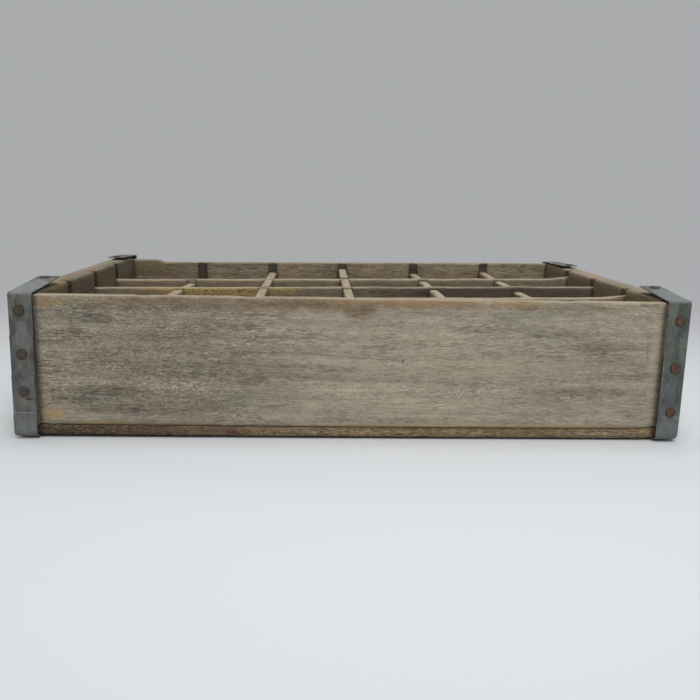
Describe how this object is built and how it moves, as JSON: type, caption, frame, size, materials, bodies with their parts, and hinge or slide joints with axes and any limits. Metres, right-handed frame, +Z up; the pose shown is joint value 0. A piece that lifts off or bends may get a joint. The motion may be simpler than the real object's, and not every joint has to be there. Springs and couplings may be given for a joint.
{
  "type": "wooden bottle crate",
  "caption": "Low weathered wooden drinks crate with a grid of slotted dividers for bottles, hand holes in its ends and bent steel straps nailed round its corners.",
  "frame": {"origin": "on the floor, under the middle of the crate", "axes": "+X along the crate towards its right end, +Y from the front board to the back board, +Z up"},
  "size_m": [0.4667, 0.3068, 0.106],
  "materials": {
    "end_wood": "bare softwood, weathered grey-brown, open grain",
    "side_wood": "bare softwood, weathered grey-brown, open grain, no paint left",
    "slat_wood": "bare softwood, dark and dirty, worn edges",
    "divider_wood": "bare softwood, tan, worn along the top edges",
    "strap_steel": "old zinc coat, dull blue-grey with pale bloom, streaks and dents",
    "strap_nail_iron": "rusted brown",
    "board_nail_iron": "rusted dark brown"
  },
  "bodies": {
    "root": {"end_board_left": "end_wood", "end_board_right": "end_wood", "side_board_front": "side_wood", "side_board_back": "side_wood", "bottom_slat_1": "slat_wood", "bottom_slat_2": "slat_wood", "bottom_slat_3": "slat_wood", "bottom_slat_4": "slat_wood", "long_divider_front": "divider_wood", "long_divider_middle": "divider_wood", "long_divider_back": "divider_wood", "cross_divider_1": "divider_wood", "cross_divider_2": "divider_wood", "cross_divider_3": "divider_wood", "cross_divider_4": "divider_wood", "cross_divider_5": "divider_wood", "corner_strap_front_left": "strap_steel", "strap_nails_front_left": "strap_nail_iron", "corner_strap_front_right": "strap_steel", "strap_nails_front_right": "strap_nail_iron", "corner_strap_back_left": "strap_steel", "strap_nails_back_left": "strap_nail_iron", "corner_strap_back_right": "strap_steel", "strap_nails_back_right": "strap_nail_iron", "end_nails_left": "board_nail_iron", "end_nails_right": "board_nail_iron", "slat_nails": "board_nail_iron", "side_nails": "board_nail_iron"}
  },
  "joints": []
}
